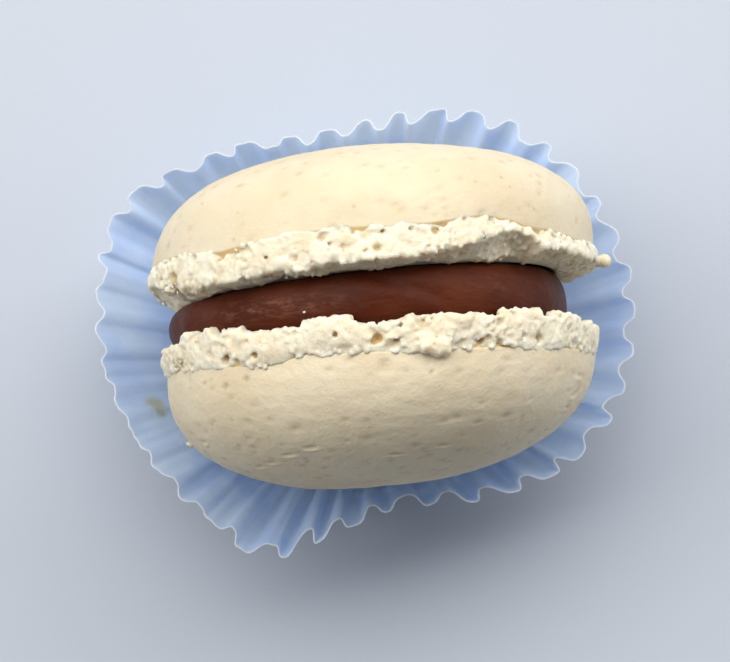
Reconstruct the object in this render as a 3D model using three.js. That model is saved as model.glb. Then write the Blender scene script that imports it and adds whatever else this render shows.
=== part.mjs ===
// A filled almond meringue sandwich biscuit, lying on its edge in a fluted paper case.
//
// Millimetres, +Z up. +X runs across the round of the biscuit and +Y along its thickness, from the
// lower shell to the upper one. The origin is the middle of the whole object's outline, on the
// surface that the case stands on.
//
// Each solid is a turned form: a profile swept round an axis, whose points a function then moves
// to give the ruffled foot, the lopsided crown or the flutes.
import * as THREE from "three";

const GAP = 0.3; // clearance between neighbouring solids

// ---- driving dimensions ----

const BISCUIT = {
  filling: 4.9, // distance between the middles of the two shells' flat faces
  turn: 4.6, // degrees that the biscuit is turned in its case, seen from above
  openAcross: 2.8, // degrees by which the shells part towards +X
  openUp: 1.5, // degrees by which they part towards the top
  lowerDrop: 0.7, // how much nearer the floor the lower shell's axis is, so that both stand on it
  x: 1.2,
  y: 1.25,
};

// A shell is a ruffled foot round the flat face, and a crown that grows out of it. Angles are in
// degrees round the shell's axis, and 0 is +X for both shells.
const UPPER_SHELL = {
  footRadius: 23.0,
  footHeight: 3.6,
  footSlant: -0.055, // the foot grows thinner towards +X where this is under 0
  crownRadius: 22.5,
  crownHeight: 10.4,
  crownPower: 2.3, // over 2, the crown is squarer than an ellipse
  crownDrift: { x: 1.7, y: 0.2 }, // how far the top of the crown lies off the axis
  ruffle: 0.3,
  curl: { at: -42, spread: 21, height: 1.3 }, // where the foot's edge curls up off the filling
};

const LOWER_SHELL = {
  footRadius: 22.1,
  footHeight: 2.8,
  footSlant: 0.02,
  crownRadius: 21.7,
  crownHeight: 11.6,
  crownPower: 2.25,
  crownDrift: { x: -1.2, y: 0.1 },
  ruffle: 0.28,
  curl: { at: 150, spread: 14, height: 0.4 },
};

const FILLING = {
  radius: 20.2,
  drift: -1.0, // the filling sits a little to -X of the shells
  edge: 1.9, // how far in its rounded edge starts
};

const CASE = {
  flutes: 40,
  paper: 0.3, // thickness of the solid that stands for the paper
  baseRadius: 15.5,
  wallLength: 20.5, // along the paper, from the base's edge to the mouth
  flare: 1.2, // over 1, the wall bends outwards as it rises
  mouthRadius: 28.8,
  fluteDepth: 1.15, // from the crest of a flute to its crease, at the mouth
  mouthStart: 4, // degrees from +X of the first crease at the mouth
};

// Where the mouth is pushed in or pulled out of its circle: degrees, millimetres and the spread.
const MOUTH_PULLS = [
  { at: 101, by: -7.2, spread: 36 }, // back, pressed in
  { at: 282, by: -10.9, spread: 48 }, // front, pressed in
  { at: 212, by: -1.7, spread: 28 }, // left front, flattened
  { at: 245, by: 2.5, spread: 11 }, // the corner pulled out at the front left
  { at: 154, by: 1.9, spread: 13 }, // back left swell
];

// Where the flutes are pulled flat or squeezed deep: degrees, share of the depth and the spread.
const DEPTH_PULLS = [
  { at: 203, by: -0.7, spread: 26 },
  { at: 251, by: 0.8, spread: 13 },
  { at: 68, by: 0.3, spread: 18 },
  { at: 316, by: 0.25, spread: 24 },
];

const COLOURS = { shell: 0xf3e6c4, filling: 0x4a2418, paper: 0xdfe8f6 };

// ---- small tools ----

const radians = (degrees) => (degrees * Math.PI) / 180;

// 1 at the angle `at`, falling smoothly to 0 a few spreads away, all in degrees.
function bump(angle, at, spread) {
  const away = ((((angle - at) % 360) + 540) % 360) - 180;
  return Math.exp(-((away / spread) ** 2));
}

const pulled = (angle, pulls) =>
  pulls.reduce((sum, pull) => sum + pull.by * bump(angle, pull.at, pull.spread), 0);

// A closed body turned about +Z. The profile runs from the bottom of the axis to its top, and
// place(angle, row) returns where the point of that row goes, with the angle in degrees.
function turned(profile, columns, place) {
  const geometry = new THREE.LatheGeometry(profile, columns);
  const position = geometry.attributes.position;
  for (let index = 0; index < position.count; index++) {
    const column = Math.floor(index / profile.length) % columns;
    const point = place((column / columns) * 360, index % profile.length);
    position.setXYZ(index, point.x, point.y, point.z);
  }
  geometry.computeVertexNormals();
  return geometry;
}

function named(name, geometry, colour, roughness) {
  const material = new THREE.MeshStandardMaterial({ color: colour, roughness, metalness: 0 });
  const mesh = new THREE.Mesh(geometry, material);
  mesh.name = name;
  return mesh;
}

// ---- the two shells ----

const SHELL_COLUMNS = 72;
const FOOT_ROWS = 5;
const CROWN_ROWS = 9;

// The foot's ragged edge: three waves of unlike length, which shift from row to row.
function raggedness(angle, row) {
  const a = radians(angle);
  return (
    0.5 * Math.sin(7 * a + 1.3 * row) +
    0.4 * Math.sin(12 * a + 2.1 * row + 1) +
    0.35 * Math.sin(19 * a + 0.7 * row + 4)
  );
}

function shellGeometry(shell) {
  const { footRadius, footHeight, footSlant, crownRadius, crownHeight, crownPower } = shell;
  const bulge = footHeight / 2;
  const profile = [new THREE.Vector2(0, 0), new THREE.Vector2(footRadius * 0.6, 0)];
  const footStart = profile.length;
  for (let row = 0; row < FOOT_ROWS; row++) {
    const a = Math.PI * (row / (FOOT_ROWS - 1) - 0.5);
    const reach = footRadius - bulge * 0.5;
    profile.push(
      new THREE.Vector2(reach + bulge * 0.5 * Math.cos(a), bulge * (1 + Math.sin(a))),
    );
  }
  const crownStart = profile.length;
  for (let row = 0; row <= CROWN_ROWS; row++) {
    const a = (Math.PI / 2) * (row / CROWN_ROWS);
    const across = row === CROWN_ROWS ? 0 : Math.cos(a) ** (2 / crownPower);
    const up = Math.sin(a) ** (2 / crownPower);
    profile.push(new THREE.Vector2(crownRadius * across, footHeight + 0.25 + crownHeight * up));
  }

  return turned(profile, SHELL_COLUMNS, (angle, row) => {
    let { x: radius, y: height } = profile[row];
    const inFoot = row >= footStart && row < crownStart;
    if (inFoot) {
      radius += shell.ruffle * raggedness(angle, row);
      const share = 1 - (row - footStart) / (FOOT_ROWS - 1);
      height += share * shell.curl.height * bump(angle, shell.curl.at, shell.curl.spread);
    }
    const rise = row < crownStart ? 0 : (height - footHeight) / crownHeight;
    const point = new THREE.Vector3(
      radius * Math.cos(radians(angle)) + shell.crownDrift.x * rise,
      radius * Math.sin(radians(angle)) + shell.crownDrift.y * rise,
      height,
    );
    point.z += footSlant * point.x * Math.min(1, profile[row].y / footHeight);
    return point;
  });
}

// ---- the filling ----

const FILLING_COLUMNS = 60;
const EDGE_ROWS = 7;

// A round slab that runs right through between the shells, with a rounded edge. It is a wedge,
// because the shells aren't parallel. Its own -Y is the biscuit's top.
function fillingGeometry() {
  const half = BISCUIT.filling / 2 - GAP;
  const growX = Math.tan(radians(BISCUIT.openAcross / 2));
  const growTop = Math.tan(radians(BISCUIT.openUp / 2));
  const profile = [new THREE.Vector2(0, -half)];
  for (let row = 0; row < EDGE_ROWS; row++) {
    const a = Math.PI * (row / (EDGE_ROWS - 1) - 0.5);
    const reach = FILLING.radius - FILLING.edge;
    const out = reach + FILLING.edge * Math.cos(a) ** 0.7;
    profile.push(new THREE.Vector2(out, half * Math.sin(a)));
  }
  profile.push(new THREE.Vector2(0, half));

  return turned(profile, FILLING_COLUMNS, (angle, row) => {
    const a = radians(angle);
    const radius = profile[row].x * (1 + 0.012 * Math.sin(3 * a + 0.6) * Math.sin(a));
    const x = radius * Math.cos(a) + FILLING.drift;
    const y = radius * Math.sin(a);
    return new THREE.Vector3(x, y, profile[row].y * (1 + (growX * x - growTop * y) / half));
  });
}

// ---- the paper case ----

const COLUMNS_PER_FLUTE = 6;
const WALL_STEPS = 3;
const OUTLINE_STEPS = 720;

const mouthRadius = (angle) => CASE.mouthRadius + pulled(angle, MOUTH_PULLS);
const fluteDepth = (angle) => CASE.fluteDepth * (1 + pulled(angle, DEPTH_PULLS));

const mouthPoint = (angle) =>
  new THREE.Vector2(Math.cos(radians(angle)), Math.sin(radians(angle))).multiplyScalar(
    mouthRadius(angle),
  );

// The mouth's angle at each share of its length: the flutes are evenly spaced along the paper,
// so they crowd together in angle where the mouth is far from the middle.
const mouthAngle = (() => {
  const lengths = [0];
  for (let step = 1; step <= OUTLINE_STEPS; step++) {
    const [from, to] = [step - 1, step].map((s) => mouthPoint((s / OUTLINE_STEPS) * 360));
    lengths.push(lengths[step - 1] + from.distanceTo(to));
  }
  return (share) => {
    const wanted = share * lengths[OUTLINE_STEPS];
    const step = Math.max(1, lengths.findIndex((length) => length >= wanted));
    const into = (wanted - lengths[step - 1]) / (lengths[step] - lengths[step - 1]);
    return ((step - 1 + into) / OUTLINE_STEPS) * 360;
  };
})();

// Rounded crests with narrow creases between them, from -0.5 to 0.5.
const fluteWave = (share) => Math.abs(Math.sin(Math.PI * CASE.flutes * share)) ** 1.2 - 0.5;

// The middle of the paper at a share of the way round (0 to 1) and up the wall (0 to 1).
function paperPoint(round, up) {
  const angle = mouthAngle(round) + CASE.mouthStart;
  const mouth = mouthPoint(angle);
  const outwards = mouth.clone().normalize();
  const base = outwards.clone().multiplyScalar(CASE.baseRadius);
  const rise = Math.sqrt(CASE.wallLength ** 2 - mouth.distanceToSquared(base));
  const flat = base
    .lerp(mouth, up ** CASE.flare)
    .addScaledVector(outwards, fluteDepth(angle) * up ** 0.8 * fluteWave(round));
  return new THREE.Vector3(flat.x, flat.y, CASE.paper / 2 + rise * up);
}

// The paper's outward direction, square to it.
function paperNormal(round, up) {
  const step = 1e-3;
  const across = paperPoint((round + step) % 1, up).sub(paperPoint((round - step + 1) % 1, up));
  const low = Math.max(step, up) - step;
  const along = paperPoint(round, low + 2 * step).sub(paperPoint(round, low));
  return across.cross(along).normalize();
}

function caseGeometry() {
  const columns = CASE.flutes * COLUMNS_PER_FLUTE;
  const half = CASE.paper / 2;
  // Each row is a height up the wall and a side of the paper: 1 outside, -1 inside.
  const rows = [];
  for (let step = 0; step <= WALL_STEPS; step++) rows.push({ up: step / WALL_STEPS, side: 1 });
  for (let step = WALL_STEPS; step >= 0; step--) rows.push({ up: step / WALL_STEPS, side: -1 });
  const middle = { axis: true };
  const stack = [{ ...middle, side: 1 }, ...rows, { ...middle, side: -1 }];
  const profile = stack.map(({ axis, side }) => new THREE.Vector2(axis ? 0 : 1, -side));

  return turned(profile, columns, (angle, row) => {
    const { axis, up, side } = stack[row];
    if (axis) return new THREE.Vector3(0, 0, side === 1 ? 0 : CASE.paper);
    const round = angle / 360;
    const point = paperPoint(round, up);
    if (up > 0) return point.addScaledVector(paperNormal(round, up), side * half);
    point.z = side === 1 ? 0 : CASE.paper;
    return point;
  });
}

// ---- assembly ----

// Stands a shell on its edge. Side is 1 for the shell whose crown faces +Y, and -1 for the other.
function stood(shell, side) {
  const lean = radians(BISCUIT.openUp / 2);
  const swing = radians(BISCUIT.openAcross / 2);
  shell.rotation.set(-side * (Math.PI / 2 + lean), 0, side * swing, "ZXY");
  shell.position.set(0, (side * BISCUIT.filling) / 2, side < 0 ? -BISCUIT.lowerDrop : 0);
  return shell;
}

function biscuit() {
  const group = new THREE.Group();
  const upper = stood(named("upper_shell", shellGeometry(UPPER_SHELL), COLOURS.shell, 0.75), 1);
  const lower = stood(named("lower_shell", shellGeometry(LOWER_SHELL), COLOURS.shell, 0.75), -1);
  const filling = named("chocolate_filling", fillingGeometry(), COLOURS.filling, 0.4);
  filling.rotation.x = -Math.PI / 2;
  group.add(upper, lower, filling);
  group.rotation.z = radians(BISCUIT.turn);
  group.position.set(BISCUIT.x, BISCUIT.y, 0);
  group.updateMatrixWorld(true);
  const lowest = new THREE.Box3().setFromObject(group, true).min.z;
  group.position.z = CASE.paper + GAP - lowest; // it stands on the case's floor
  return group;
}

const part = new THREE.Group();
part.add(biscuit(), named("paper_case", caseGeometry(), COLOURS.paper, 0.85));
part.updateMatrixWorld(true);
const box = new THREE.Box3().setFromObject(part, true);
const middle = box.getCenter(new THREE.Vector3());
for (const child of part.children) {
  child.position.x -= middle.x;
  child.position.y -= middle.y;
  child.position.z -= box.min.z;
}

export default part;
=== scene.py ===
"""A filled almond meringue sandwich biscuit, lying on its edge in a fluted paper case."""

import functools
import itertools
import math

import bpy
import numpy as np
from bpy.props import FloatProperty, FloatVectorProperty, IntProperty, PointerProperty
from bpy.types import Operator, Panel, PropertyGroup
from mathutils import Matrix, Vector


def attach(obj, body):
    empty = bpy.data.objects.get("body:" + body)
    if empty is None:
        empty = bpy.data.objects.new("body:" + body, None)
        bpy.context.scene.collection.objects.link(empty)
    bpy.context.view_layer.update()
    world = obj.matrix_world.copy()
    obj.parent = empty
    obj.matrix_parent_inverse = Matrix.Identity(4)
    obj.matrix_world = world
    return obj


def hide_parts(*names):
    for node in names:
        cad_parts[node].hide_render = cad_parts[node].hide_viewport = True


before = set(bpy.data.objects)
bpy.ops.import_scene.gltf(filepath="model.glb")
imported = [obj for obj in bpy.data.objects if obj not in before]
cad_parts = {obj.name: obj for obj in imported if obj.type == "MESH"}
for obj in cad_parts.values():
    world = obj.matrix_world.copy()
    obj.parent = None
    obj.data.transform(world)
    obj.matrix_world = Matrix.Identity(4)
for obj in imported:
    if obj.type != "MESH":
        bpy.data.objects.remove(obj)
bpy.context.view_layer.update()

bl_info = {
    "name": "Macaron in a Paper Case",
    "version": (1, 0, 0),
    "blender": (4, 5, 0),
    "location": "3D View > Sidebar > Macaron",
    "description": "Builds the crowns, ruffled feet, filling, paper case and crumbs of a macaron",
    "category": "Object",
}

# The shapes are worked out in millimetres, and become metres when a mesh is made.
MM = 0.001

# Where the biscuit stands in its case, and how its shells part, as in the solid model.
BISCUIT_CENTRE = Vector((1.302, 0.546, 23.613))
BISCUIT_TURN = math.radians(4.6)
OPEN_ACROSS = math.radians(2.8)
OPEN_UP = math.radians(1.5)
LOWER_DROP = 0.7
CASE_CENTRE = (0.102, -0.704)


# ---- small tools ----


def linear(red, green, blue):
    """A colour given as 0 to 255 on a screen, in the linear values that shaders use."""
    parts = [part / 255 for part in (red, green, blue)]
    return tuple(p / 12.92 if p <= 0.04045 else ((p + 0.055) / 1.055) ** 2.4 for p in parts)


def smoothstep(value):
    value = np.clip(value, 0, 1)
    return value * value * (3 - 2 * value)


def bump(angle, at, spread):
    """1 at the angle at, falling smoothly to 0 a few spreads away, all in degrees."""
    away = (angle - at + 180) % 360 - 180
    return np.exp(-((away / spread) ** 2))


def between(angle, start, end, soft):
    """1 from the angle start to the angle end, with edges soft degrees wide."""
    middle, half = (start + end) / 2, (end - start) / 2
    away = np.abs((angle - middle + 180) % 360 - 180)
    return smoothstep((half - away) / soft + 0.5)


def blended_max(a, b, soft):
    """The larger of two fields, rounded over soft where they meet."""
    mix = np.clip(0.5 + 0.5 * (a - b) / soft, 0, 1)
    return b + (a - b) * mix + soft * mix * (1 - mix)


def blended_min(a, b, soft):
    return -blended_max(-a, -b, soft)


CELL_SEEDS = 4096  # a power of two
CELL_HASH = (73856093, 19349663, 83492791)  # large primes, which spread the cells over the seeds
NOISE_GAIN = 1.7  # brings the values out to about -1 and 1


def noise(points, size, seed):
    """Smooth random values, mostly from -1 to 1, with lumps about size across.

    Each use has a seed of its own. The numbers added to a seed only keep the patterns apart.
    """
    rng = np.random.default_rng(seed)
    table = rng.permutation(256)
    slopes = rng.normal(size=(256, 3))
    slopes /= np.linalg.norm(slopes, axis=1, keepdims=True)
    scaled = points / size
    cell = np.floor(scaled).astype(int)
    within = scaled - cell
    fade = within**3 * (within * (within * 6 - 15) + 10)
    total = np.zeros(len(points))
    for corner in itertools.product((0, 1), repeat=3):
        i, j, k = (cell + corner).T & 255
        index = table[(table[(table[i] + j) & 255] + k) & 255]
        lean = ((within - corner) * slopes[index]).sum(axis=1)
        total += lean * np.where(corner, fade, 1 - fade).prod(axis=1)
    return total * NOISE_GAIN


def cells(points, size, seed):
    """Of seeds scattered about size apart: how far the nearest two are, and the nearest's value."""
    rng = np.random.default_rng(seed)
    shifts, values = rng.uniform(0, 1, (CELL_SEEDS, 3)), rng.uniform(-1, 1, CELL_SEEDS)
    scaled = points / size
    cell = np.floor(scaled).astype(int)
    first = np.full(len(points), 9.0)
    second, value = first.copy(), np.zeros(len(points))
    for offset in itertools.product((-1, 0, 1), repeat=3):
        near = cell + offset
        i, j, k = (near * CELL_HASH).T
        index = (i ^ j ^ k) & (CELL_SEEDS - 1)
        away = np.linalg.norm(near + shifts[index] - scaled, axis=1)
        closer = away < first
        second = np.where(closer, first, np.minimum(second, away))
        value = np.where(closer, values[index], value)
        first = np.minimum(first, away)
    return first * size, second * size, value


@functools.cache
def ring_table(radius, size, seed):
    """Angles in degrees round a ring, and smooth random values at them."""
    turn = np.radians(np.arange(0, 360, 0.125))
    ring = np.stack([radius * np.cos(turn), radius * np.sin(turn), 0 * turn], -1)
    return np.degrees(turn), noise(ring, size, seed)


def ring_noise(angle, radius, size, seed):
    """Smooth random values round a ring, at angles in degrees."""
    return np.interp(angle, *ring_table(radius, size, seed), period=360)


def polar(points):
    """Each point's distance from the axis, and its angle round it in degrees."""
    x, y = points[:, 0], points[:, 1]
    return np.hypot(x, y), np.degrees(np.arctan2(y, x))


def turned_point(radius, angle, height):
    """The point at a radius, an angle in degrees and a height."""
    turn = math.radians(angle)
    return np.array((radius * math.cos(turn), radius * math.sin(turn), height))


def solid(name, points, faces, place, layers):
    """A smooth mesh object from points in millimetres, set in the row frame by place.

    Layers hold a value for each point under the names that the materials read.
    """
    matrix = np.array(place)
    world = (points @ matrix[:3, :3].T + matrix[:3, 3]) * MM
    mesh = bpy.data.meshes.new(name)
    mesh.from_pydata(world.tolist(), [], faces.tolist() if hasattr(faces, "tolist") else faces)
    mesh.validate()
    mesh.shade_smooth()
    for layer, values in layers.items():
        mesh.attributes.new(layer, "FLOAT", "POINT").data.foreach_set("value", values)
    made = bpy.data.objects.new(name, mesh)
    bpy.context.scene.collection.objects.link(made)
    return made


def turned_points(out, up, columns, start, end):
    """Points of a body turned about its axis: rings at radii and heights, between two points on it."""
    turn = np.arange(columns) / columns * 2 * math.pi
    rings = np.stack([out * np.cos(turn), out * np.sin(turn), up + 0 * turn], -1)
    return np.concatenate([[[0, 0, start]], rings.reshape(-1, 3), [[0, 0, end]]])


def turned_faces(rows, columns):
    """Faces between the points of turned_points, where rows is how many rings there are."""
    ring = np.arange(columns)
    after = (ring + 1) % columns
    low = 1 + np.arange(rows - 1)[:, None] * columns
    walls = np.stack([low + ring, low + after, low + after + columns, low + ring + columns], -1)
    last = 1 + (rows - 1) * columns
    start = np.stack([np.zeros(columns, int), 1 + after, 1 + ring], -1)
    end = np.stack([last + ring, last + after, np.full(columns, last + columns)], -1)
    return walls.reshape(-1, 4).tolist() + start.tolist() + end.tolist()


def biscuit_place():
    return Matrix.Translation(BISCUIT_CENTRE) @ Matrix.Rotation(BISCUIT_TURN, 4, "Z")


def shell_place(side):
    """Where a shell stands: side is 1 for the one whose crown faces +Y, and -1 for the other."""
    gap = bpy.context.scene.macaron_filling.thickness / MM
    seat = Vector((0, side * gap / 2, -LOWER_DROP if side < 0 else 0))
    swing = Matrix.Rotation(side * OPEN_ACROSS / 2, 4, "Z")
    lean = Matrix.Rotation(-side * (math.pi / 2 + OPEN_UP / 2), 4, "X")
    return biscuit_place() @ Matrix.Translation(seat) @ swing @ lean


def finish_piece(piece, node, material):
    """Gives the piece its material, hangs it under the root body, and hides the part of the solid
    model that it stands for.
    """
    piece.data.materials.append(material)
    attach(piece, "root")
    if node:
        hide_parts(node)


# ---- turning a field into a skin ----


def skin(field, low, step):
    """Points and faces of the surface where a field on a grid passes through 0, inside below 0.

    Each crossed cell gets one point, the middle of its edges' crossings, and each crossed edge
    gets one face, between the points of the four cells round it.
    """
    inside = field < 0
    shape = tuple(size - 1 for size in field.shape)
    total = np.zeros(shape + (3,), np.float32)
    count = np.zeros(shape, np.float32)
    crossings = []
    for axis in range(3):
        ahead = [slice(None)] * 3
        behind = [slice(None)] * 3
        ahead[axis] = slice(1, None)
        behind[axis] = slice(None, -1)
        crossed = inside[tuple(ahead)] != inside[tuple(behind)]
        at = np.argwhere(crossed)
        here = field[tuple(at.T)]
        next_at = at.copy()
        next_at[:, axis] += 1
        share = here / (here - field[tuple(next_at.T)])
        where = at.astype(np.float32)
        where[:, axis] += share
        across, along = [other for other in range(3) if other != axis]
        fits = (at[:, across] > 0) & (at[:, across] < shape[across])
        fits &= (at[:, along] > 0) & (at[:, along] < shape[along])
        at, where, starts_in = at[fits], where[fits], inside[tuple(at[fits].T)]
        round_edge = []
        for back_across, back_along in ((1, 1), (0, 1), (0, 0), (1, 0)):
            cell = at.copy()
            cell[:, across] -= back_across
            cell[:, along] -= back_along
            flat = np.ravel_multi_index(cell.T, shape)
            np.add.at(count.reshape(-1), flat, 1)
            np.add.at(total.reshape(-1, 3), flat, where)
            round_edge.append(flat)
        quads = np.stack(round_edge, -1)
        turn = starts_in if axis != 1 else ~starts_in
        quads[~turn] = quads[~turn][:, ::-1]
        crossings.append(quads)
    used = np.flatnonzero(count)
    number = np.full(count.size, -1)
    number[used] = np.arange(len(used))
    points = total.reshape(-1, 3)[used] / count.reshape(-1)[used, None]
    return low + points * step, number[np.concatenate(crossings)]


class Block:
    """A field on an even grid, which balls can be added to or cut from one at a time."""

    def __init__(self, low, high, step):
        self.low = np.array(low, float)
        self.step = step
        sizes = [int(math.ceil((b - a) / step)) + 1 for a, b in zip(low, high)]
        axes = [a + step * np.arange(size) for a, size in zip(low, sizes)]
        self.points = np.stack(np.meshgrid(*axes, indexing="ij"), -1).reshape(-1, 3)
        self.shape = tuple(sizes)
        self.field = None

    def near(self, centre, reach):
        """The part of the grid within reach of a centre, as slices."""
        first = np.floor((centre - self.low - reach) / self.step).astype(int)
        last = np.ceil((centre - self.low + reach) / self.step).astype(int) + 1
        return tuple(
            slice(max(0, a), max(0, min(b, size))) for a, b, size in zip(first, last, self.shape)
        )

    def ball(self, centre, radius, soft, cut=False):
        """Adds a ball, or cuts one out, and rounds over soft where it meets the rest."""
        part = self.near(centre, radius + soft)
        grid = self.points.reshape(self.shape + (3,))[part]
        if grid.size == 0:
            return
        away = np.linalg.norm(grid - centre, axis=-1) - radius
        old = self.field[part]
        self.field[part] = blended_max(old, -away, soft) if cut else blended_min(old, away, soft)

    def sample(self, values, points):
        """The values of a grid at its nearest places to the points."""
        index = np.rint((points - self.low) / self.step).astype(int)
        index = np.clip(index, 0, np.array(self.shape) - 1)
        return values[tuple(index.T)]


# ---- the shells ----

# What each shell has of its own. Angles are in degrees round its axis, with 0 at +X. The top of
# the biscuit is at -90 on the upper shell and at 90 on the lower one.
UPPER = {
    "side": 1,
    "slant": -0.055,
    # how far the crease strays from an even slant: degrees and millimetres
    "strays": [
        (-180, -0.9), (-158, -0.8), (-145, -0.8), (-137, -1.25), (-129, -1.4), (-122, -1.1),
        (-114, -0.95), (-108, -0.65), (-94, -0.5), (-85, -0.65), (-76, -0.35), (-69, 0.05),
        (-63, 0.4), (-55, 0.1), (-49, -0.5), (-43, -0.45), (-35, -0.65), (-30, -0.85), (0, -0.5),
        (40, 0.0), (90, -0.2), (140, -0.5),
    ],
    "drift": (2.0, 0.2),  # of the crown's top from the shell's axis
    "seed": 11,
    "grip": 0.0,  # how far the whole edge of the foot reaches over the filling
    "underside_shade": 0.15,  # how strongly shade is painted on the foot's underside
    # how high the foot's outer ridge runs above the flat face: degrees and millimetres
    "ridge": [
        (-180, 3.0), (-163, 2.3), (-151, 1.0), (-142, 0.55), (-127, 0.4), (-110, 0.5), (-97, 0.3),
        (-85, 0.4), (-77, 0.5), (-68, 1.1), (-58, 2.1), (-50, 1.9), (-46, 0.6), (-36, 0.7),
        (-27, 0.3), (-10, 0.4), (15, 0.9), (45, 0.5), (80, 1.0), (110, 0.4), (145, 0.8), (165, 2.2),
    ],
    # stretches of edge that reach over the filling: start, end and millimetres
    "plates": [(-147, -139, 0.3), (-112, -106, 0.35)],
    # cavities in the foot: degrees, share of its height, radius and how far in the centre lies
    "pockets": [
        (-148, 0.5, 0.75, 0.1), (-139, 0.97, 0.6, -0.1), (-130, 0.97, 0.7, -0.1),
        (-125, 0.95, 0.7, -0.1), (-102, 0.93, 0.6, -0.1), (-93, 0.95, 0.75, 0.0),
        (-89.5, 0.42, 0.55, -0.25), (-75, 0.95, 0.75, 0.0), (-47, 0.95, 0.85, 0.1),
        (-38, 0.9, 0.4, 0.0), (-81, 0.93, 0.4, 0.1), (-97, 0.5, 0.35, 0.0),
        (-116, 0.55, 0.3, 0.0), (-109, 0.4, 0.4, 0.0), (-88, 0.95, 0.3, 0.2),
    ],
    # stretches where the crease is hollowed out under the crown: start, end and millimetres
    "recesses": [(-132, -119, 0.6), (-103, -88, 0.3), (-79, -71, 0.35), (-50, -43, 0.45)],
    # rough lumps and smooth round drops on the foot's side, given like its cavities
    "knobs": [],
    "drops": [(-5, 0.45, 0.72, -0.85), (-3, 0.45, 0.5, -0.2)],
    # small baked bubbles on the crown's side: degrees, height over the crease and radius
    "spots": [],
    # flaked spots on the crown: degrees and share of its radius
    "scuffs": [(100, 0.7), (20, 0.85), (-130, 0.9)],
}
LOWER = {
    "side": -1,
    "slant": -0.01,
    "strays": [
        (-180, -0.4), (-130, -0.2), (-90, -0.3), (-60, 0.0), (-20, 0.4), (0, 0.3), (30, 0.1),
        (60, 0.0), (85, 0.0), (99, -0.2), (109, -0.4), (113, -0.05), (120, 0.4), (128, 0.1),
        (139, -0.1), (155, -0.4),
    ],
    "drift": (-1.2, 0.1),
    "seed": 29,
    "grip": 0.5,
    "underside_shade": 0.08,
    "ridge": [
        (-180, 0.8), (-150, 1.4), (-120, 0.6), (-90, 0.9), (-60, 0.4), (-30, 1.0), (0, 0.8),
        (20, 0.4), (60, 0.2), (90, 0.4), (115, 0.4), (150, 0.3),
    ],
    "plates": [
        (136.5, 150, 0.7), (127, 133.5, 0.6), (97, 110, 0.6), (71, 84, 0.35), (64, 71, 0.25),
        (46.5, 58.5, 0.8), (29, 41, 0.7), (-20, -5, 0.4), (-75, -60, 0.5), (-130, -105, 0.4),
    ],
    "pockets": [
        (138, 0.4, 0.65, -0.05), (131, 0.8, 0.7, 0.1), (128.5, 0.97, 0.4, 0.3),
        (123, 0.7, 0.45, 0.0), (92.5, 0.7, 0.7, -0.1), (87, 0.8, 0.6, 0.0),
        (71, 0.88, 0.55, 0.1), (64, 0.9, 0.6, 0.1), (53.5, 0.72, 0.4, 0.1),
        (47.5, 0.75, 0.65, 0.25), (18, 0.9, 0.5, 0.1),
        (101, 0.3, 0.4, 0.0), (152, 0.8, 0.5, 0.1), (158, 0.75, 0.4, 0.0),
    ],
    "recesses": [
        (94, 108, 0.5), (118, 134, 0.35), (84, 93, 0.45), (55, 70, 0.35), (34, 49, 0.25),
        (140, 165, 0.1), (-170, -140, 0.3), (-110, -80, 0.35), (-40, -20, 0.3),
    ],
    "knobs": [
        (79.5, 0.85, 0.75, -0.05), (77, 1.0, 0.8, 0.1), (75, 1.15, 0.5, 0.0), (88, 0.6, 0.4, -0.1),
    ],
    "drops": [],
    "spots": [(133, 1.75, 0.36), (126, 1.15, 0.36), (141, 1.3, 0.22), (78, 2.0, 0.2)],
    "scuffs": [
        (140, 0.68), (121, 0.756), (111.5, 0.79), (155, 0.865), (131, 0.71), (84, 0.7), (68, 0.74),
        (25, 0.985), (24, 0.95), (23, 0.915), (-60, 0.7), (-100, 0.8), (-150, 0.6),
    ],
}

FOOT_STEP = 0.18  # between the points of the grid that a foot is made on, in millimetres

# How far that grid runs past a foot: outwards, over its crease and under its flat face.
GRID_OUT = 2.2
GRID_OVER = 2.4
GRID_UNDER = 2.0

# Radii from a foot's axis: its hole, which the crown and the filling hide, where its relief starts,
# where its underside starts to slope, and where that side's crumbs and ragged edge start.
FOOT_HOLE = 18.3
RELIEF_START = 19.0
SLOPE_START = 20.2
FRINGE_START = 20.4
RAGGED_START = 20.5

RELIEF_DEPTH = 1.2  # on either side of a foot's skin, within which its relief is worked out
FLAKE_SIZE = 2.2  # of the large scales of a foot's skin
LUMP_SIZE = 0.8  # of the small lumps on them
SIDE_CRUMBS = 1500  # on the outer face of a foot
FRINGE_CRUMBS = 700  # along the edge of a foot that faces the filling

# Holes at random places in a foot: how many, the range of their radii, the range of their shares of
# the foot's height, and how far in the centre lies, in radii and in millimetres.
CHANCE_HOLES = [
    (20, (0.3, 0.55), (0.85, 1.0), 0.1, 0.0),
    (22, (0.18, 0.36), (0.05, 0.9), -0.45, 0.0),
    (130, (0.12, 0.2), (0.0, 1.0), 0.0, -0.12),
]
LARGE_HOLE = 0.25  # A hole of a larger radius is a cluster of balls, so that it isn't round.
HOLE_BALLS = 4


def round_table(table, angle):
    """A value from a table of degrees and values that runs all the way round."""
    return np.interp(angle, *np.array(table).T, period=360)


def crease_height(shell, sizes, x, angle, share=1.0):
    """How high above the flat face the crown starts. Share is how much of its strays to count."""
    return sizes.foot_height / MM + shell["slant"] * x + round_table(shell["strays"], angle) * share


def foot_wobble(shell, sizes, angle, size, number):
    """Smooth random values round a foot. The number gives each use a pattern of its own."""
    return ring_noise(angle, sizes.foot_radius / MM, size, shell["seed"] + number)


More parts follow.
